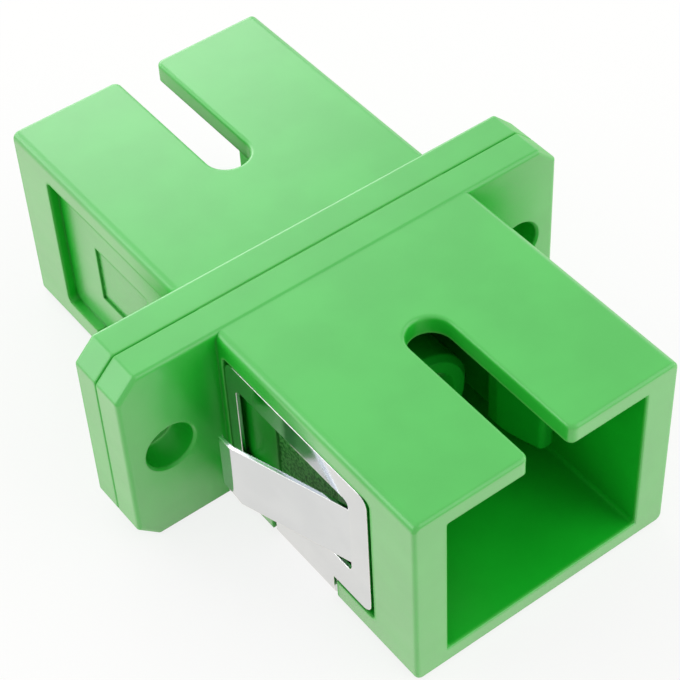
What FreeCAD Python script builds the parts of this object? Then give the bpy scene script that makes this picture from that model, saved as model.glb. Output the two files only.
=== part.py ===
import FreeCAD, Part
import math
import os

# SC fibre adapter, flanged simplex coupler with a spring clip for a panel cut-out.
#
# Frame: X runs across the flange ears, Y along the plug axis, Z up through the keyways.
# The origin lies on the plug axis, in the flange's front (panel) face, midway between
# the two screw holes.  The front plug mouth, with the panel clip, faces -Y.
# All lengths are millimetres.

V = FreeCAD.Vector
ALONG_X = V(1, 0, 0)
ALONG_Y = V(0, 1, 0)

# ---- Housing halves: two copies of one moulding, joined back to back ----
HALF_LENGTH = 13.8             # parting plane to plug mouth
BODY_WIDTH = 12.8
BODY_TOP = 4.75                # plug axis to the face with the keyway
BODY_BOTTOM = 4.72             # plug axis to the underside
BODY_EDGE_RADIUS = 0.35

FLANGE_HALF_THICKNESS = 1.53
SCREW_SPACING = 18.0
SCREW_HOLE_RADIUS = 1.12
SCREW_HOLE_CHAMFER = 0.1
SCREW_TO_FLANGE_END = 2.05     # hole's middle to the end of the ear
FLANGE_PROUD = 0.04            # flange stands this far outside the body, above and below
FLANGE_CHAMFER = 0.95
FLANGE_EDGE_RADIUS = 0.18      # softens the flange's outline and its face's edge
PARTING_CHAMFER = 0.06         # half of the fine groove that shows where the halves meet

SOCKET_WIDTH = 9.68
SOCKET_HEIGHT = 7.7
SOCKET_CORNER_RADIUS = 0.2
SOCKET_LEAD_IN = 0.06

KEYWAY_WIDTH = 2.0
KEYWAY_LENGTH = 7.95
KEYWAY_MOUTH_RADIUS = 0.35     # corners where the keyway opens through the mouth
RIM_RADIUS = 0.17              # soft edge round the mouth and along the keyway

# ---- Side recesses that take the panel clip ----
RECESS_DEPTH = 0.45
RECESS_TOP_LIP = 1.03          # wall left above the recess
RECESS_BOTTOM_LIP = 1.24       # wall left below the recess
RECESS_FLANGE_STRIP = 0.3      # wall left between flange face and recess
RECESS_END_WALL = 2.6          # wall left between recess and plug mouth
RECESS_CORNER_RADIUS = 0.3

POCKET_LENGTH = 4.0            # shallow relief in the recess floor, behind the tongue
POCKET_HEIGHT = 3.0
POCKET_DEPTH = 0.1
POCKET_CENTRE_Y = -5.03

# ---- Panel clip: one folded stainless strip ----
SHEET = 0.17
CLIP_FLOOR_GAP = 0.27          # side frame to recess floor
FRAME_GAP = 0.1                # side frame to the recess walls, above, below and at the flange
FRAME_MOUTH_GAP = 0.22         # side frame to the recess wall at the plug mouth
FRAME_CORNER_RADIUS = 0.55
FRAME_TOP_BAR = 1.16
FRAME_BOTTOM_BAR = 1.6
FRAME_FLANGE_BAR = 0.65
FRAME_MOUTH_BAR = 1.15
WINDOW_CORNER_RADIUS = 0.3

BAND_WIDTH = 3.9               # strip that runs under the body and joins the side frames
BAND_CENTRE_Y = -5.05
BAND_BEND_RADIUS = 0.25        # inside of the bend
BAND_SINK = 0.05               # band lies this far inside the underside of the body
NOTCH_GAP = 0.24               # band edge to the notch wall
NOTCH_CORNER_RADIUS = 0.45     # corners where the notch opens through the underside
NOTCH_CORNER_RAISE = 0.05      # keeps those corners from ending in a knife edge

TONGUE_TOP_SLOT = 0.44
TONGUE_BOTTOM_SLOT = 0.6
TONGUE_TOP_TAPER = 0.35        # upper edge comes down by this much towards the free end
TONGUE_BOTTOM_FLARE = 0.25     # lower edge drops by this much towards the free end
TONGUE_ANGLE = 16.4            # degrees out of the side frame
TONGUE_LENGTH = 5.7            # root bend to lip bend
TONGUE_LIP_LENGTH = 0.8
TONGUE_LIP_ANGLE = -2.0        # degrees out of the side frame
TONGUE_LIP_TAPER = 0.3         # lip is narrower than the tongue's free end, each side
TONGUE_BEND_RADIUS = 0.25      # inside of both bends

# ---- Latch inserts: plate, sleeve holder and two plug hooks in one moulding ----
PLATE_WIDTH = 11.2
PLATE_HEIGHT = 8.3
PLATE_THICKNESS = 0.9
PLATE_CORNER_RADIUS = 0.4
PLATE_CLEARANCE = 0.05         # plate edge to the housing's plate seat

HOLDER_RADIUS = 2.45
HOLDER_LENGTH = 6.2            # parting plane to the holder's end
HOLDER_END_WALL = 0.42
HOLDER_END_CHAMFER = 0.25
FERRULE_PASSAGE_RADIUS = 1.42  # end wall's funnel, where it meets the bore
FERRULE_MOUTH_RADIUS = 1.7     # end wall's funnel, at the holder's end

HOOK_HEIGHT = 4.0
HOOK_REACH = 9.65              # parting plane to the hook's tip
HOOK_INNER_X = 3.4             # plug axis to the arm's inner face
HOOK_THICKNESS = 0.75
HOOK_BARB_X = 2.8              # plug axis to the barb's crest
HOOK_BARB_FACE = 7.0           # parting plane to the face that holds the plug
HOOK_CREST_LENGTH = 0.55
HOOK_TIP_RADIUS = 0.3
HOOK_CREST_RADIUS = 0.3
HOOK_CREST_SIDE_RADIUS = 0.25
HOOK_ROOT_RADIUS = 0.3
BARB_WINDOW_CLEARANCE = 0.05   # mould opening in the plate behind each barb

# ---- Split sleeve: zirconia tube that lines the two ferrules up ----
SLEEVE_BORE_RADIUS = 1.25
SLEEVE_OUTER_RADIUS = 1.6
SLEEVE_LENGTH = 11.4
SLEEVE_SLIT = 0.45
SLEEVE_EDGE_CHAMFER = 0.12
SLEEVE_CLEARANCE = 0.06        # sleeve to holder bore, radial

# ---- Places worked out from the sizes above ----
PARTING_Y = FLANGE_HALF_THICKNESS
MOUTH_Y = PARTING_Y - HALF_LENGTH
SIDE_X = BODY_WIDTH / 2
FLANGE_END_X = SCREW_SPACING / 2 + SCREW_TO_FLANGE_END
SOCKET_TOP = SOCKET_HEIGHT / 2

RECESS_TOP = BODY_TOP - RECESS_TOP_LIP
RECESS_BOTTOM = -BODY_BOTTOM + RECESS_BOTTOM_LIP
RECESS_START_Y = -RECESS_FLANGE_STRIP
RECESS_END_Y = MOUTH_Y + RECESS_END_WALL
RECESS_FLOOR_X = SIDE_X - RECESS_DEPTH

CLIP_INNER_X = RECESS_FLOOR_X + CLIP_FLOOR_GAP
CLIP_OUTER_X = CLIP_INNER_X + SHEET
FRAME_TOP = RECESS_TOP - FRAME_GAP
FRAME_BOTTOM = RECESS_BOTTOM + FRAME_GAP
FRAME_START_Y = RECESS_START_Y - FRAME_GAP
FRAME_END_Y = RECESS_END_Y + FRAME_MOUTH_GAP
WINDOW_TOP = FRAME_TOP - FRAME_TOP_BAR
WINDOW_BOTTOM = FRAME_BOTTOM + FRAME_BOTTOM_BAR
WINDOW_START_Y = FRAME_START_Y - FRAME_FLANGE_BAR
WINDOW_END_Y = FRAME_END_Y + FRAME_MOUTH_BAR
TONGUE_TOP = WINDOW_TOP - TONGUE_TOP_SLOT
TONGUE_BOTTOM = WINDOW_BOTTOM + TONGUE_BOTTOM_SLOT
BAND_BOTTOM = -BODY_BOTTOM + BAND_SINK
CHANNEL_DEPTH = BAND_SINK + SHEET

PLATE_FACE_Y = PARTING_Y - PLATE_THICKNESS
HOLDER_END_Y = PARTING_Y - HOLDER_LENGTH
HOOK_TIP_Y = PARTING_Y - HOOK_REACH
BARB_FACE_Y = PARTING_Y - HOOK_BARB_FACE
HOLDER_BORE_RADIUS = SLEEVE_OUTER_RADIUS + SLEEVE_CLEARANCE


# ---- Small helpers ----
def box(x0, x1, y0, y1, z0, z1):
    """Box between two corners."""
    return Part.makeBox(x1 - x0, y1 - y0, z1 - z0, V(x0, y0, z0))


def edges_along(shape, axis):
    """Edges that run along an axis."""
    return [edge for edge in shape.Edges if abs(edge.tangentAt(edge.FirstParameter).dot(axis)) > 0.9]


def bar_along_y(x0, x1, z0, z1, y0, y1, radius):
    """Box along Y with its four long edges rounded."""
    solid = box(x0, x1, y0, y1, z0, z1)
    return solid.makeFillet(radius, edges_along(solid, ALONG_Y))


def plate_along_x(x0, x1, y0, y1, z0, z1, radius):
    """Box with the four edges that run along X rounded."""
    solid = box(x0, x1, y0, y1, z0, z1)
    return solid.makeFillet(radius, edges_along(solid, ALONG_X))


def cylinder_y(radius, y0, y1, x=0.0, z=0.0):
    """Cylinder along Y."""
    return Part.makeCylinder(radius, y1 - y0, V(x, y0, z), V(0, 1, 0))


def cone_y(radius0, radius1, y0, y1, x=0.0, z=0.0):
    """Cone along Y from radius0 at y0 to radius1 at y1."""
    return Part.makeCone(radius0, radius1, y1 - y0, V(x, y0, z), V(0, 1, 0))


def prism(points, direction):
    """Straight-sided solid on a closed outline."""
    return Part.Face(Part.makePolygon(points + points[:1])).extrude(direction)


def mirrored_pair(shape):
    """The shape and its mirror image across the middle plane."""
    return [shape, shape.mirror(V(0, 0, 0), V(1, 0, 0))]


def rear_copy(shape):
    """The same moulding turned end for end about the parting plane."""
    turned = shape.copy()
    turned.rotate(V(0, PARTING_Y, 0), V(0, 0, 1), 180)
    return turned


def edges_where(shape, test):
    """Edges whose every sampled point passes the test."""
    chosen = []
    for edge in shape.Edges:
        first, last = edge.FirstParameter, edge.LastParameter
        samples = [edge.valueAt(first + (last - first) * share) for share in (0.0, 0.5, 1.0)]
        if all(test(point) for point in samples):
            chosen.append(edge)
    return chosen


def near(a, b):
    """True where two lengths agree."""
    return abs(a - b) < 1e-4


# ---- Housing ----
def flange_half():
    """Half of the flange: chamfered corners, soft front edge, fine chamfer at the parting."""
    end = FLANGE_END_X
    top = BODY_TOP + FLANGE_PROUD
    bottom = -BODY_BOTTOM - FLANGE_PROUD
    c = FLANGE_CHAMFER
    corners = [
        (-end, bottom + c), (-end + c, bottom), (end - c, bottom), (end, bottom + c),
        (end, top - c), (end - c, top), (-end + c, top), (-end, top - c),
    ]
    flange = prism([V(x, 0, z) for x, z in corners], V(0, FLANGE_HALF_THICKNESS, 0))
    flange = flange.makeFillet(FLANGE_EDGE_RADIUS, edges_along(flange, ALONG_Y))
    flange = flange.makeChamfer(PARTING_CHAMFER, edges_where(flange, lambda p: near(p.y, PARTING_Y)))
    return flange.makeFillet(FLANGE_EDGE_RADIUS, edges_where(flange, lambda p: near(p.y, 0)))


def keyway_cutter():
    """Slot through the top wall: rounded corners at the mouth, round inner end."""
    half = KEYWAY_WIDTH / 2
    flare = KEYWAY_MOUTH_RADIUS
    slant = flare * (1 - math.sqrt(0.5))
    wide = half + flare
    outside = MOUTH_Y - 1.0
    flare_end_y = MOUTH_Y + flare
    end_centre_y = MOUTH_Y + KEYWAY_LENGTH - half

    def line(x0, y0, x1, y1):
        return Part.makeLine(V(x0, y0, 0), V(x1, y1, 0))

    def arc(x0, y0, x1, y1, x2, y2):
        return Part.Arc(V(x0, y0, 0), V(x1, y1, 0), V(x2, y2, 0)).toShape()

    outline = Part.Wire([
        line(-wide, outside, -wide, MOUTH_Y),
        arc(-wide, MOUTH_Y, -half - slant, MOUTH_Y + slant, -half, flare_end_y),
        line(-half, flare_end_y, -half, end_centre_y),
        arc(-half, end_centre_y, 0, end_centre_y + half, half, end_centre_y),
        line(half, end_centre_y, half, flare_end_y),
        arc(half, flare_end_y, half + slant, MOUTH_Y + slant, wide, MOUTH_Y),
        line(wide, MOUTH_Y, wide, outside),
        line(wide, outside, -wide, outside),
    ])
    return Part.Face(outline).extrude(V(0, 0, BODY_TOP + 1.0))


def slotted_block():
    """Outer block of one half with the keyway cut, soft along the body, round the mouth and keyway."""
    block = bar_along_y(-SIDE_X, SIDE_X, -BODY_BOTTOM, BODY_TOP, MOUTH_Y, PARTING_Y, BODY_EDGE_RADIUS)
    block = block.cut(keyway_cutter())
    mouth_edges = edges_where(block, lambda p: near(p.y, MOUTH_Y) and not in_socket(p.x, p.z))
    keyway_edges = edges_where(block, lambda p: near(p.z, BODY_TOP) and in_keyway(p.x, p.y))
    return block.makeFillet(RIM_RADIUS, mouth_edges + keyway_edges)


def in_socket(x, z):
    """True inside the plug opening."""
    return abs(x) < SOCKET_WIDTH / 2 and abs(z) < SOCKET_TOP


def in_keyway(x, y):
    """True inside the keyway and on its edge, mouth corners included."""
    reach = KEYWAY_WIDTH / 2 + KEYWAY_MOUTH_RADIUS
    return abs(x) < reach + 1e-4 and y < MOUTH_Y + KEYWAY_LENGTH + 1e-4


def socket_cutter():
    """Plug socket right through the half, with a lead-in all round the mouth."""
    half = SOCKET_WIDTH / 2
    bore = bar_along_y(
        -half, half, -SOCKET_TOP, SOCKET_TOP, MOUTH_Y - 1.0, PARTING_Y + 1.0, SOCKET_CORNER_RADIUS
    )
    wide_x, wide_z = half + 2 * SOCKET_LEAD_IN, SOCKET_TOP + 2 * SOCKET_LEAD_IN
    lead_in = Part.makeWedge(
        -wide_x, MOUTH_Y - SOCKET_LEAD_IN, -wide_z, -SOCKET_TOP, -half,
        wide_x, MOUTH_Y + SOCKET_LEAD_IN, wide_z, SOCKET_TOP, half,
    )
    return bore.fuse(lead_in)


def recess_cutter():
    """Right-hand side recess, its floor relief and the notch that lets the clip band pass."""
    outside = SIDE_X + 1.0
    pan = plate_along_x(
        RECESS_FLOOR_X, outside, RECESS_END_Y, RECESS_START_Y, RECESS_BOTTOM, RECESS_TOP,
        RECESS_CORNER_RADIUS,
    )
    relief = box(
        RECESS_FLOOR_X - POCKET_DEPTH, outside,
        POCKET_CENTRE_Y - POCKET_LENGTH / 2, POCKET_CENTRE_Y + POCKET_LENGTH / 2,
        -POCKET_HEIGHT / 2, POCKET_HEIGHT / 2,
    )
    y0, y1 = notch_span()
    notch_top = RECESS_BOTTOM + RECESS_CORNER_RADIUS
    notch = box(RECESS_FLOOR_X, outside, y0, y1, -BODY_BOTTOM - 1.0, notch_top)
    flares = [notch_corner(y0, -1, outside), notch_corner(y1, 1, outside)]
    ceiling = -BODY_BOTTOM + CHANNEL_DEPTH
    corner_cut = BAND_BEND_RADIUS + CLIP_FLOOR_GAP
    corner = prism(
        [
            V(RECESS_FLOOR_X - corner_cut, y0, ceiling), V(RECESS_FLOOR_X, y0, ceiling + corner_cut),
            V(outside, y0, ceiling + corner_cut), V(outside, y0, ceiling),
        ],
        V(0, y1 - y0, 0),
    )
    return pan.multiFuse([relief, notch, corner] + flares)


def notch_corner(wall_y, side, outside):
    """Rounds the corner between a notch wall and the underside, on the wall's side along Y."""
    r = NOTCH_CORNER_RADIUS
    centre_y = wall_y + side * r
    centre_z = -BODY_BOTTOM + r - NOTCH_CORNER_RAISE
    y0, y1 = sorted((wall_y, centre_y))
    block = box(RECESS_FLOOR_X, outside, y0, y1, -BODY_BOTTOM - 1.0, centre_z)
    return block.cut(Part.makeCylinder(r, outside, V(0, centre_y, centre_z), ALONG_X))


def notch_span():
    """Ends of the clip band's notch along Y."""
    half = BAND_WIDTH / 2 + NOTCH_GAP
    return BAND_CENTRE_Y - half, BAND_CENTRE_Y + half


def band_channel():
    """Shallow channel across the underside for the clip band."""
    y0, y1 = notch_span()
    return box(-SIDE_X - 1.0, SIDE_X + 1.0, y0, y1, -BODY_BOTTOM - 1.0, -BODY_BOTTOM + CHANNEL_DEPTH)


def plate_seat():
    """Seat for the latch insert's plate, open at the parting plane."""
    half_width = PLATE_WIDTH / 2 + PLATE_CLEARANCE
    half_height = PLATE_HEIGHT / 2 + PLATE_CLEARANCE
    return bar_along_y(
        -half_width, half_width, -half_height, half_height, PLATE_FACE_Y, PARTING_Y + 1.0,
        PLATE_CORNER_RADIUS,
    )


def screw_hole():
    """Right-hand hole through the ear, with a fine chamfer at the flange's front face."""
    x, rim = SCREW_SPACING / 2, SCREW_HOLE_CHAMFER
    hole = cylinder_y(SCREW_HOLE_RADIUS, -1.0, PARTING_Y + 1.0, x)
    return hole.fuse(cone_y(SCREW_HOLE_RADIUS + 2 * rim, SCREW_HOLE_RADIUS, -rim, rim, x))


def housing_half():
    """Front housing half, complete."""
    blank = slotted_block().fuse(flange_half()).removeSplitter()
    cutters = [socket_cutter(), band_channel(), plate_seat()]
    cutters += mirrored_pair(recess_cutter())
    cutters += mirrored_pair(screw_hole())
    return blank.cut(cutters)


# ---- Latch insert ----
def hook():
    """Right-hand plug hook: arm, rounded tip and barb with a sloping front."""
    inner, outer = HOOK_INNER_X, HOOK_INNER_X + HOOK_THICKNESS
    crest_end_y = BARB_FACE_Y - HOOK_CREST_LENGTH
    outline = [
        (outer, PLATE_FACE_Y), (outer, HOOK_TIP_Y), (inner, HOOK_TIP_Y), (HOOK_BARB_X, crest_end_y),
        (HOOK_BARB_X, BARB_FACE_Y), (inner, BARB_FACE_Y), (inner, PLATE_FACE_Y),
    ]
    half_height = HOOK_HEIGHT / 2
    arm = prism([V(x, y, -half_height) for x, y in outline], V(0, 0, HOOK_HEIGHT))
    rounded = [
        (outer, HOOK_TIP_Y, HOOK_TIP_RADIUS),
        (inner, HOOK_TIP_Y, HOOK_TIP_RADIUS),
        (HOOK_BARB_X, crest_end_y, HOOK_CREST_RADIUS),
    ]
    for x, y, radius in rounded:
        arm = arm.makeFillet(radius, edges_where(arm, lambda p: near(p.x, x) and near(p.y, y)))
    crest_sides = bar_along_y(
        HOOK_BARB_X, outer + 1.0, -half_height, half_height, HOOK_TIP_Y, PLATE_FACE_Y,
        HOOK_CREST_SIDE_RADIUS,
    )
    return arm.common(crest_sides)


def sleeve_holder():
    """Half of the tube that holds the split sleeve, with its end wall."""
    tube = cylinder_y(HOLDER_RADIUS, HOLDER_END_Y, PARTING_Y)
    end_edge = edges_where(tube, lambda p: near(p.y, HOLDER_END_Y))
    return tube.makeChamfer(HOLDER_END_CHAMFER, end_edge)


def sleeve_room():
    """Bore for the sleeve and the funnel that leads a ferrule through the end wall."""
    wall_end_y = HOLDER_END_Y + HOLDER_END_WALL
    bore = cylinder_y(HOLDER_BORE_RADIUS, wall_end_y, PARTING_Y + 1.0)
    funnel = cone_y(FERRULE_MOUTH_RADIUS, FERRULE_PASSAGE_RADIUS, HOLDER_END_Y, wall_end_y)
    return [bore, funnel]


def barb_window():
    """Mould opening in the plate behind the right-hand barb."""
    return box(
        HOOK_BARB_X - BARB_WINDOW_CLEARANCE, HOOK_INNER_X, PLATE_FACE_Y - 0.5, PARTING_Y + 1.0,
        -HOOK_HEIGHT / 2, HOOK_HEIGHT / 2,
    )


def latch_insert():
    """Front latch insert: plate, sleeve holder and two hooks."""
    half_width, half_height = PLATE_WIDTH / 2, PLATE_HEIGHT / 2
    plate = bar_along_y(
        -half_width, half_width, -half_height, half_height, PLATE_FACE_Y, PARTING_Y, PLATE_CORNER_RADIUS
    )
    insert = plate.multiFuse([sleeve_holder()] + mirrored_pair(hook())).removeSplitter()
    root_x = HOOK_INNER_X + HOOK_THICKNESS
    roots = edges_where(insert, lambda p: near(p.y, PLATE_FACE_Y) and near(abs(p.x), root_x))
    insert = insert.makeFillet(HOOK_ROOT_RADIUS, roots)
    return insert.cut(sleeve_room() + mirrored_pair(barb_window()))


# ---- Split sleeve ----
def split_sleeve():
    """Slit ceramic tube with chamfered outer edges, centred on the parting plane."""
    y0, y1 = PARTING_Y - SLEEVE_LENGTH / 2, PARTING_Y + SLEEVE_LENGTH / 2
    tube = cylinder_y(SLEEVE_OUTER_RADIUS, y0, y1)
    end_edges = edges_where(tube, lambda p: near(p.y, y0) or near(p.y, y1))
    tube = tube.makeChamfer(SLEEVE_EDGE_CHAMFER, end_edges)
    bore = cylinder_y(SLEEVE_BORE_RADIUS, y0 - 1.0, y1 + 1.0)
    slit = box(-SLEEVE_SLIT / 2, SLEEVE_SLIT / 2, y0 - 1.0, y1 + 1.0, 0, SLEEVE_OUTER_RADIUS + 1.0)
    return tube.cut([bore, slit])


# ---- Panel clip ----
def unit(a, b):
    """Direction from a to b in the plane."""
    length = math.hypot(b[0] - a[0], b[1] - a[1])
    return (b[0] - a[0]) / length, (b[1] - a[1]) / length


def inner_line(outer, thickness):
    """Line parallel to an open bent line, on its left, with mitred corners."""
    line = []
    for index, point in enumerate(outer):
        into = unit(outer[max(index - 1, 0)], outer[max(index, 1)])
        out = unit(outer[min(index, len(outer) - 2)], outer[min(index + 1, len(outer) - 1)])
        turn = (-into[1] - out[1], into[0] + out[0])
        reach = 2 * thickness / (turn[0] ** 2 + turn[1] ** 2)
        line.append((point[0] + turn[0] * reach, point[1] + turn[1] * reach))
    return line


def bent_sheet(outer, bend_radius, place, across):
    """Sheet on a bent outer line: place turns plane points into space, across is the strip's width."""
    inner = inner_line(outer, SHEET)
    sheet = prism([place(u, v) for u, v in outer + inner[::-1]], across)
    for index in range(1, len(outer) - 1):
        into, out = unit(outer[index - 1], outer[index]), unit(outer[index], outer[index + 1])
        turns_left = into[0] * out[1] - into[1] * out[0] > 0
        outer_radius = bend_radius + SHEET if turns_left else bend_radius
        inner_radius = bend_radius if turns_left else bend_radius + SHEET
        for corner, radius in ((outer[index], outer_radius), (inner[index], inner_radius)):
            start = place(corner[0], corner[1])
            bend = edges_where(sheet, lambda p: (p - start).cross(across).Length < 1e-4 * across.Length)
            sheet = sheet.makeFillet(radius, bend)
    return sheet


def side_frame():
    """Right-hand window frame, flat against the body side."""
    frame = plate_along_x(
        CLIP_INNER_X, CLIP_OUTER_X, FRAME_END_Y, FRAME_START_Y, FRAME_BOTTOM, FRAME_TOP,
        FRAME_CORNER_RADIUS,
    )
    window = plate_along_x(
        CLIP_INNER_X - 1.0, CLIP_OUTER_X + 1.0, WINDOW_END_Y, WINDOW_START_Y, WINDOW_BOTTOM, WINDOW_TOP,
        WINDOW_CORNER_RADIUS,
    )
    return frame.cut(window)


def tongue():
    """Right-hand spring tongue: leaves the mouth end of the window and ends in a straight lip."""
    slope = math.radians(TONGUE_ANGLE)
    lip_slope = math.radians(TONGUE_LIP_ANGLE)
    start = (CLIP_OUTER_X, FRAME_END_Y + FRAME_MOUTH_BAR / 2)
    root = (CLIP_OUTER_X, WINDOW_END_Y)
    fold = (root[0] + TONGUE_LENGTH * math.sin(slope), root[1] + TONGUE_LENGTH * math.cos(slope))
    end_x = fold[0] + TONGUE_LIP_LENGTH * math.sin(lip_slope)
    end_y = fold[1] + TONGUE_LIP_LENGTH * math.cos(lip_slope)
    outer_line = [start, root, fold, (end_x, end_y)]
    height = V(0, 0, WINDOW_TOP - WINDOW_BOTTOM)
    sheet = bent_sheet(outer_line, TONGUE_BEND_RADIUS, lambda x, y: V(x, y, WINDOW_BOTTOM), height)

    free_bottom = TONGUE_BOTTOM - TONGUE_BOTTOM_FLARE
    free_top = TONGUE_TOP - TONGUE_TOP_TAPER
    beyond = end_y + 1.0
    side_view = [
        (start[1], TONGUE_BOTTOM), (root[1], TONGUE_BOTTOM), (fold[1] - TONGUE_LIP_TAPER, free_bottom),
        (fold[1], free_bottom + TONGUE_LIP_TAPER), (beyond, free_bottom + TONGUE_LIP_TAPER),
        (beyond, free_top), (root[1], TONGUE_TOP), (start[1], TONGUE_TOP),
    ]
    trim = prism([V(0, y, z) for y, z in side_view], V(BODY_WIDTH + TONGUE_LENGTH, 0, 0))
    return sheet.common(trim)


def band_half():
    """Right-hand half of the band: leg beside the body, bend, and half of the strip underneath."""
    y0 = BAND_CENTRE_Y - BAND_WIDTH / 2
    leg_top = (CLIP_OUTER_X, FRAME_BOTTOM + FRAME_BOTTOM_BAR / 2)
    outer_line = [(0.0, BAND_BOTTOM), (CLIP_OUTER_X, BAND_BOTTOM), leg_top]
    across = V(0, BAND_WIDTH, 0)
    return bent_sheet(outer_line, BAND_BEND_RADIUS, lambda x, z: V(x, y0, z), across)


def panel_clip():
    """Whole clip: both side frames, both tongues and the band under the body."""
    pieces = mirrored_pair(side_frame()) + mirrored_pair(tongue()) + mirrored_pair(band_half())
    return pieces[0].multiFuse(pieces[1:]).removeSplitter()


# ---- Output ----
def checked(name, shape):
    """One valid closed solid, ready to write."""
    solids = shape.Solids
    assert len(solids) == 1 and shape.isValid(), name + ": " + str(len(solids)) + " solids"
    return solids[0]


def main():
    os.makedirs("parts", exist_ok=True)
    front_housing = housing_half()
    front_insert = latch_insert()
    nodes = {
        "front_housing": front_housing,
        "rear_housing": rear_copy(front_housing),
        "front_latch_insert": front_insert,
        "rear_latch_insert": rear_copy(front_insert),
        "split_sleeve": split_sleeve(),
        "panel_clip": panel_clip(),
    }
    for name, shape in nodes.items():
        solid = checked(name, shape)
        solid.exportStep("parts/" + name + ".step")
        print(name, "volume", round(solid.Volume, 3), "box", solid.BoundBox)


main()
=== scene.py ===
import math

import bpy
from mathutils import Matrix, Vector


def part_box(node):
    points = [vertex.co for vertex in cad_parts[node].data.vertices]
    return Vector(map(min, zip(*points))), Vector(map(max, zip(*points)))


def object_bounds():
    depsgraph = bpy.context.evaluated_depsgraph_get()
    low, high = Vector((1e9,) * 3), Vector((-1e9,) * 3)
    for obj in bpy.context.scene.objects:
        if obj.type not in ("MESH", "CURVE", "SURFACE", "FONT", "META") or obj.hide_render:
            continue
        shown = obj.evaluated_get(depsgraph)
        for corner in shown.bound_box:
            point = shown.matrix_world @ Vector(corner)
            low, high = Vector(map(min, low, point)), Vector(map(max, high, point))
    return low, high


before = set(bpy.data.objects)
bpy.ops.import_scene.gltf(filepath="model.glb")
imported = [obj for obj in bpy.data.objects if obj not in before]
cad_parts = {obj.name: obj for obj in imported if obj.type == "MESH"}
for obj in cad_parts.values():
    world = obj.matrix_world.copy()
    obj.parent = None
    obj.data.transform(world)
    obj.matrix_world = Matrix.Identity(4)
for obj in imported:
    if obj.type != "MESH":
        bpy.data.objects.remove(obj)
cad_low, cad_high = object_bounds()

MM = 0.001

# Colours, linear.
WHITE = (1.0, 1.0, 1.0)
OUTER_GREEN = (0.058, 0.505, 0.070)      # open faces of the housing
HOLLOW_SHADE_GREEN = (0.008, 0.52, 0.024)       # painted shade of the housing's hollows
RIM_GREEN = (0.18, 0.62, 0.16)           # rubbed edges of the housing, lightened also as a painted highlight; pale grains of the side relief
# The housing's plastic, a darker green as painted shade deep in the socket.
SHADED_INSERT_GREEN = (0.004, 0.38, 0.018)
SHADED_FLECK_GREEN = (0.004, 0.10, 0.004)       # dark grains of the side relief, near-black as painted shade
STEEL_GREYS = (0.67, 0.71, 0.76), (0.71, 0.75, 0.80)
SCRATCHED_STEEL = (0.50, 0.52, 0.54)
SHEARED_EDGE_HIGHLIGHT = (0.95, 0.95, 0.94)
CERAMIC_WHITES = (0.80, 0.79, 0.74), (0.86, 0.86, 0.83)
FLOOR_WHITE = (0.93, 0.92, 0.89)
MIRRORED_WHITE = (1.0, 0.95, 0.88)       # the floor as steel shows it

# Places on the housing, in millimetres. The plug axis is the Y axis.
FLOOR_Z = cad_low.z / MM                           # the adapter lies on this level
PARTING_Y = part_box("front_housing")[1].y / MM      # where the halves meet
OPENING_HALF_WIDTH = 4.86                          # half the plug opening and 0.02 more, so
OPENING_HALF_HEIGHT = 3.87                         # that the socket's walls lie within it
RELIEF_FLOOR = 5.85                                # plug axis to the floor of a side relief
RELIEF_MIDDLE = 6.56                               # parting plane to its middle
RELIEF_HALF_LENGTH = 1.99                          # 0.01 short of its outline, so that the
RELIEF_HALF_HEIGHT = 1.49                          # walls around it stay plain
RELIEF_MARGIN = 0.05                               # a face this near its floor counts as it

SHELTER_REACH = 4.5                                # walls this near shelter a face, which then gets painted shade and less gloss
GROOVE_REACH = 0.4                                 # the same for grooves and inner corners, which get painted shade
RIM_WIDTH = 0.2                                    # strip along a moulded edge, rubbed and lightened as a painted highlight
SHEAR_WIDTH = 0.05                                 # painted highlight strip along a sheared edge

NOISE_SPAN = (0.3, 0.7)                            # where most of a noise's values lie


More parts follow.
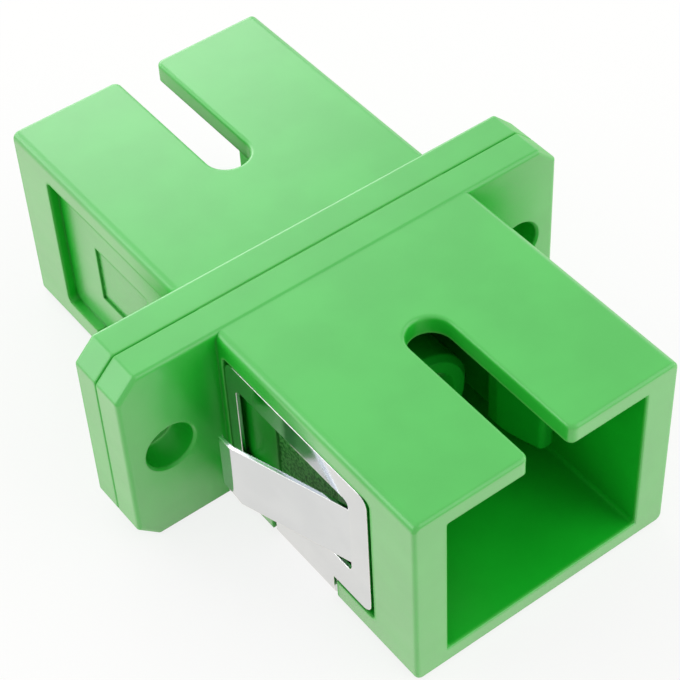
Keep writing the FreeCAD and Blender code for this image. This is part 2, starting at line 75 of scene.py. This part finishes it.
# ---- Node helpers ----
class NodeTree:
    """A material's or world's nodes, built by short calls that return output sockets."""

    def __init__(self, owner, output_kind):
        owner.use_nodes = True
        self.tree = owner.node_tree
        self.tree.nodes.clear()
        self.output = self.tree.nodes.new(output_kind)

    def node(self, kind, inputs=(), **settings):
        made = self.tree.nodes.new(kind)
        for key, value in settings.items():
            setattr(made, key, value)
        for key, value in dict(inputs).items():
            self.feed(made.inputs[key], value)
        return made

    def feed(self, socket, value):
        if isinstance(value, bpy.types.NodeSocket):
            self.tree.links.new(value, socket)
        elif socket.type == "RGBA":
            socket.default_value = (*value, 1.0)
        else:
            socket.default_value = value

    def math(self, operation, a, b=0.0):
        return self.node("ShaderNodeMath", {0: a, 1: b}, operation=operation).outputs[0]

    def product(self, value, *factors):
        for factor in factors:
            value = self.math("MULTIPLY", value, factor)
        return value

    def one_minus(self, value):
        return self.math("SUBTRACT", 1.0, value)

    def within(self, value, middle, margin):
        """1 where the value is less than the margin away from the middle, else 0."""
        away = self.math("ABSOLUTE", self.math("SUBTRACT", value, middle))
        return self.math("LESS_THAN", away, margin)

    def ramp(self, value, low, high, out_low=0.0, out_high=1.0):
        """Smooth step from out_low to out_high, as the value goes from low to high."""
        made = self.node(
            "ShaderNodeMapRange",
            {
                "Value": value, "From Min": low, "From Max": high,
                "To Min": out_low, "To Max": out_high,
            },
            interpolation_type="SMOOTHSTEP",
        )
        return made.outputs["Result"]

    def mix(self, factor, a, b, blend="MIX"):
        """Mixes two colours. The node's colour sockets share their names with its float ones."""
        inputs = {"Factor": factor, 6: a, 7: b}
        return self.node("ShaderNodeMix", inputs, data_type="RGBA", blend_type=blend).outputs[2]

    def tinted(self, colour, tint):
        return self.mix(1.0, colour, tint, "MULTIPLY")

    def position(self, stretch=(1.0, 1.0, 1.0)):
        """Object coordinates in millimetres, stretched per axis."""
        coordinates = self.node("ShaderNodeTexCoord").outputs["Object"]
        scale = tuple(1 / MM * factor for factor in stretch)
        mapping = self.node("ShaderNodeMapping", {"Vector": coordinates, "Scale": scale})
        return mapping.outputs["Vector"]

    def axes(self):
        return self.node("ShaderNodeSeparateXYZ", {0: self.position()}).outputs

    def noise(self, vector, scale, detail, roughness):
        made = self.node(
            "ShaderNodeTexNoise",
            {"Vector": vector, "Scale": scale, "Detail": detail, "Roughness": roughness},
        )
        return made.outputs["Fac"]

    def reach(self, distance, inward=False):
        """Share of rays that meet nothing within a distance, sent outward or into the solid."""
        made = self.node(
            "ShaderNodeAmbientOcclusion", {"Distance": distance * MM},
            samples=8, inside=inward, only_local=inward,
        )
        return made.outputs["AO"]

    def rim(self, width):
        """1 on outward corners, 0 on flats and in hollows."""
        return self.ramp(self.reach(width, inward=True), 0.97, 0.55)

    def bump(self, layers, edge_radius=None):
        """Stacked bumps, (height socket, depth) each, over edges that look rounded."""
        normal = None
        if edge_radius:
            rounded = self.node("ShaderNodeBevel", {"Radius": edge_radius * MM}, samples=6)
            normal = rounded.outputs["Normal"]
        for height, depth in layers:
            inputs = {"Height": height, "Distance": depth * MM, "Strength": 1.0}
            if normal is not None:
                inputs["Normal"] = normal
            normal = self.node("ShaderNodeBump", inputs).outputs["Normal"]
        return normal

    def surface(self, shader):
        self.tree.links.new(shader.outputs[0], self.output.inputs["Surface"])

    def blend(self, share, first, second):
        shaders = {1: first.outputs[0], 2: second.outputs[0]}
        self.surface(self.node("ShaderNodeMixShader", {0: share, **shaders}))

    def principled(self, **inputs):
        named = {key.replace("_", " "): value for key, value in inputs.items()}
        self.surface(self.node("ShaderNodeBsdfPrincipled", named))


def new_material(name):
    material = bpy.data.materials.new(name)
    return material, NodeTree(material, "ShaderNodeOutputMaterial")


# ---- Materials ----
def beyond_opening(s):
    """0 within the plug opening's outline, 1 around it."""
    axes = s.axes()
    across = s.within(axes["X"], 0.0, OPENING_HALF_WIDTH)
    up = s.within(axes["Z"], 0.0, OPENING_HALF_HEIGHT)
    return s.one_minus(s.product(across, up))


def side_relief(s):
    """1 on the shallow relief in the floor of each side recess."""
    axes = s.axes()
    from_parting = s.math("ABSOLUTE", s.math("SUBTRACT", axes["Y"], PARTING_Y))
    return s.product(
        s.within(s.math("ABSOLUTE", axes["X"]), RELIEF_FLOOR, RELIEF_MARGIN),
        s.within(from_parting, RELIEF_MIDDLE, RELIEF_HALF_LENGTH),
        s.within(axes["Z"], 0.0, RELIEF_HALF_HEIGHT),
    )


def clearance(s, outdoors):
    """Clear share of the surroundings. The floor under the adapter isn't held against it."""
    taken_by_floor = s.ramp(s.axes()["Z"], FLOOR_Z, FLOOR_Z + SHELTER_REACH, 0.5, 0.0)
    return s.math("ADD", s.reach(SHELTER_REACH), s.product(taken_by_floor, outdoors))


def moulded_plastic(name, outer, hollow_shade, rubbed_highlight, rough, edge_radius):
    """Satin coloured ABS: flow mottling, fine grain and light scuffs, and rubbed edges that are
    also lightened as a painted highlight.

    Open faces are pale and glossy. Hollows, inner corners and grooves get painted shade, a deeper
    and darker green, and less gloss.
    """
    material, s = new_material(name)
    point = s.position()
    clouds = s.noise(point, scale=0.30, detail=3.0, roughness=0.5)
    grain = s.noise(point, scale=9.0, detail=3.0, roughness=0.6)
    spark = s.noise(point, scale=9.0, detail=2.0, roughness=0.6)
    peel = s.noise(point, scale=2.2, detail=2.0, roughness=0.45)
    flow = s.noise(s.position((1.2, 0.3, 1.2)), scale=0.8, detail=3.0, roughness=0.6)
    streaks = s.noise(s.position((7.0, 0.6, 4.0)), scale=2.0, detail=5.0, roughness=0.7)
    scuffs = s.ramp(streaks, 0.66, 0.80)

    etched = side_relief(s)
    outdoors = beyond_opening(s)
    clear = clearance(s, outdoors)
    open_air = s.product(s.ramp(clear, 0.68, 1.01), outdoors)
    out_of_grooves = s.ramp(s.reach(GROOVE_REACH), 0.35, 0.75)
    rim = s.rim(RIM_WIDTH)

    # Painted shade: hollows and the socket take a deeper green, darker still in inner corners.
    # Open faces keep their paler green.
    corner_shade = tuple(0.75 * part for part in hollow_shade)
    base = s.mix(s.ramp(clear, 0.45, 0.9), corner_shade, hollow_shade)
    base = s.mix(open_air, base, outer)
    lighter = s.tinted(base, (1.06, 1.05, 1.06))
    darker = s.tinted(base, (0.92, 0.95, 0.92))
    # Painted shade for grooves and tight inner corners.
    groove_shade = s.tinted(base, (0.55, 0.66, 0.55))
    # Grain of the side relief in pale and near-black green, shown only where the relief is
    # sheltered. Its near-black grains are painted shade.
    shaded_flecks = s.mix(s.ramp(spark, 0.40, 0.60), RIM_GREEN, SHADED_FLECK_GREEN)
    colour = s.mix(s.ramp(clouds, *NOISE_SPAN), darker, lighter)
    colour = s.mix(s.ramp(grain, 0.35, 0.75, 0.0, 0.10), colour, lighter)
    # Rubbed edges, lightened as wear and as a painted highlight.
    colour = s.mix(s.product(rim, out_of_grooves, 0.55), colour, rubbed_highlight)
    colour = s.mix(out_of_grooves, groove_shade, colour)
    colour = s.mix(s.product(etched, s.one_minus(open_air), 0.6), colour, shaded_flecks)

    roughness = s.ramp(flow, *NOISE_SPAN, rough - 0.02, rough + 0.03)
    roughness = s.math("ADD", roughness, s.product(scuffs, 0.06))
    roughness = s.math("ADD", roughness, s.product(s.math("MAXIMUM", etched, rim), 0.2))

    # Facing is 0 where the surface is seen straight on. The last factor keeps a grazing view
    # from mirroring a whole softbox.
    facing = s.node("ShaderNodeLayerWeight", {"Blend": 0.5}).outputs["Facing"]
    gloss = s.product(
        s.ramp(open_air, 0.0, 0.9, 0.06, 1.0),
        s.ramp(facing, 0.24, 0.54, 0.40, 1.0),
        s.one_minus(s.product(rim, 0.92)),
        s.ramp(facing, 0.70, 0.80, 1.0, 0.15),
    )
    pits = s.product(etched, spark)
    texture = [(peel, 0.0022), (grain, 0.0010), (scuffs, 0.0010), (pits, 0.025)]
    s.principled(
        Base_Color=colour, Roughness=roughness, Normal=s.bump(texture, edge_radius),
        IOR=1.5, Specular_IOR_Level=0.15,
        Coat_Weight=gloss, Coat_Roughness=0.26, Coat_IOR=2.3,
    )
    return material


def rolled_steel(name):
    """Rolled stainless strip: grain along the strip, thin scratches, and a painted highlight on
    sheared edges.
    """
    material, s = new_material(name)
    clouds = s.noise(s.position(), scale=0.45, detail=2.0, roughness=0.5)
    grain = s.noise(s.position((1.0, 1.2, 26.0)), scale=1.6, detail=4.0, roughness=0.65)
    streaks = s.noise(s.position((3.0, 0.9, 20.0)), scale=1.6, detail=6.0, roughness=0.75)
    scratches = s.ramp(streaks, 0.68, 0.76)
    colour = s.mix(s.ramp(clouds, *NOISE_SPAN), *STEEL_GREYS)
    colour = s.mix(s.product(scratches, 0.2), colour, SCRATCHED_STEEL)
    # Painted highlight along the sheared edges.
    colour = s.mix(s.product(s.rim(SHEAR_WIDTH), 0.8), colour, SHEARED_EDGE_HIGHLIGHT)
    roughness = s.ramp(grain, *NOISE_SPAN, 0.08, 0.13)
    roughness = s.math("ADD", roughness, s.product(scratches, 0.08))
    texture = [(clouds, 0.0012), (grain, 0.0004), (scratches, 0.0005)]
    s.principled(
        Base_Color=colour, Metallic=1.0, Roughness=roughness,
        Normal=s.bump(texture, edge_radius=0.06),
    )
    return material


def zirconia(name):
    """Polished white ceramic with a faint warm cloud."""
    material, s = new_material(name)
    clouds = s.noise(s.position(), scale=0.9, detail=3.0, roughness=0.5)
    polish = s.noise(s.position((2.0, 20.0, 2.0)), scale=1.0, detail=3.0, roughness=0.6)
    s.principled(
        Base_Color=s.mix(s.ramp(clouds, *NOISE_SPAN), *CERAMIC_WHITES),
        Roughness=s.ramp(polish, *NOISE_SPAN, 0.08, 0.14), Normal=s.bump([(polish, 0.0004)]),
        IOR=2.1, Subsurface_Weight=0.15, Subsurface_Radius=(0.4 * MM, 0.35 * MM, 0.3 * MM),
    )
    return material


def dress(material, *names):
    """Puts one material on the whole of each CAD node."""
    for name in names:
        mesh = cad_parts[name].data
        mesh.materials.clear()
        mesh.materials.append(material)


# ---- Stage ----
def reflected(s, ray):
    """1 for rays that come by way of gloss, metal or glass."""
    return s.math("MAXIMUM", ray.outputs["Is Glossy Ray"], ray.outputs["Is Transmission Ray"])


def studio_floor(level, half_side=0.6):
    """Pale floor, white to the camera and in reflections, that keeps a soft shadow."""
    mesh = bpy.data.meshes.new("floor")
    around = (-1, -1), (1, -1), (1, 1), (-1, 1)
    corners = [(x * half_side, y * half_side, level) for x, y in around]
    mesh.from_pydata(corners, [], [(0, 1, 2, 3)])
    floor = bpy.data.objects.new("floor", mesh)
    bpy.context.scene.collection.objects.link(floor)

    material, s = new_material("floor_white")
    ray = s.node("ShaderNodeLightPath")
    in_mirror = reflected(s, ray)
    paper = s.node("ShaderNodeBsdfDiffuse", {"Color": FLOOR_WHITE})
    tint = s.mix(in_mirror, WHITE, MIRRORED_WHITE)
    glow = s.node("ShaderNodeEmission", {"Color": tint, "Strength": 1.0})
    to_camera = s.product(ray.outputs["Is Camera Ray"], 0.82)
    share = s.math("ADD", to_camera, s.product(in_mirror, 0.9))
    s.blend(share, paper, glow)
    mesh.materials.append(material)


def studio_world():
    """Even surround, white to the camera and in reflections, and weaker as a light."""
    world = bpy.data.worlds.new("studio")
    bpy.context.scene.world = world
    s = NodeTree(world, "ShaderNodeOutputWorld")
    ray = s.node("ShaderNodeLightPath")
    seen = s.math("MAXIMUM", ray.outputs["Is Camera Ray"], reflected(s, ray))
    light = s.node("ShaderNodeBackground", {"Color": WHITE, "Strength": 0.62})
    backdrop = s.node("ShaderNodeBackground", {"Color": WHITE, "Strength": 1.0})
    s.blend(seen, light, backdrop)


def bearing(azimuth, elevation):
    """Unit vector from angles in degrees. Azimuth 0 is in front (-Y), 90 on the +X side."""
    a, e = math.radians(azimuth), math.radians(elevation)
    return Vector((math.sin(a) * math.cos(e), -math.cos(a) * math.cos(e), math.sin(e)))


def set_up(name, data, origin, back, roll=0.0):
    """Adds a lamp or camera at the origin given, with its back turned to a direction."""
    holder = bpy.data.objects.new(name, data)
    bpy.context.scene.collection.objects.link(holder)
    turn = back.to_track_quat("Z", "Y").to_matrix().to_4x4()
    turn = turn @ Matrix.Rotation(math.radians(roll), 4, "Z")
    holder.matrix_world = Matrix.Translation(origin) @ turn
    return holder


def softbox(name, azimuth, elevation, width, height, radiance, distance=0.5):
    """Area lamp aimed at the object, lengths in metres."""
    lamp = bpy.data.lights.new(name, "AREA")
    lamp.shape = "RECTANGLE"
    lamp.size = width
    lamp.size_y = height
    lamp.energy = radiance * math.pi * width * height
    back = bearing(azimuth, elevation)
    set_up(name, lamp, back * distance, back)


def camera(azimuth, elevation, roll, distance, aim, lens):
    """Camera that looks at aim from that bearing, lengths in metres, lens in millimetres."""
    data = bpy.data.cameras.new("camera")
    data.lens = lens
    data.sensor_width = 36.0
    data.clip_start = 0.005
    data.clip_end = 10.0
    back = bearing(azimuth, elevation)
    bpy.context.scene.camera = set_up("camera", data, aim + back * distance, back, roll)


housing_plastic = moulded_plastic(
    "green_housing_plastic", OUTER_GREEN, HOLLOW_SHADE_GREEN, RIM_GREEN, rough=0.36, edge_radius=0.16,
)
insert_plastic = moulded_plastic(
    "green_insert_plastic", SHADED_INSERT_GREEN, SHADED_INSERT_GREEN, SHADED_INSERT_GREEN, rough=0.40, edge_radius=0.14,
)
dress(housing_plastic, "front_housing", "rear_housing")
dress(insert_plastic, "front_latch_insert", "rear_latch_insert")
dress(rolled_steel("rolled_spring_steel"), "panel_clip")
dress(zirconia("zirconia_white"), "split_sleeve")

studio_floor(cad_low.z)
studio_world()
softbox("front_softbox", 50, 30, width=0.60, height=0.52, radiance=1.25)
softbox("left_softbox", -133, 24, width=0.42, height=0.26, radiance=2.0)
softbox("back_softbox", 177, 28, width=0.50, height=0.36, radiance=2.0)
# Fitted to the corners that the photograph shows.
camera(
    azimuth=-34.65, elevation=46.74, roll=-3.4, distance=0.08526,
    aim=Vector((-0.30, 0.385, 0.0)) * MM, lens=108.85,
)
bpy.context.scene.view_settings.view_transform = "Standard"
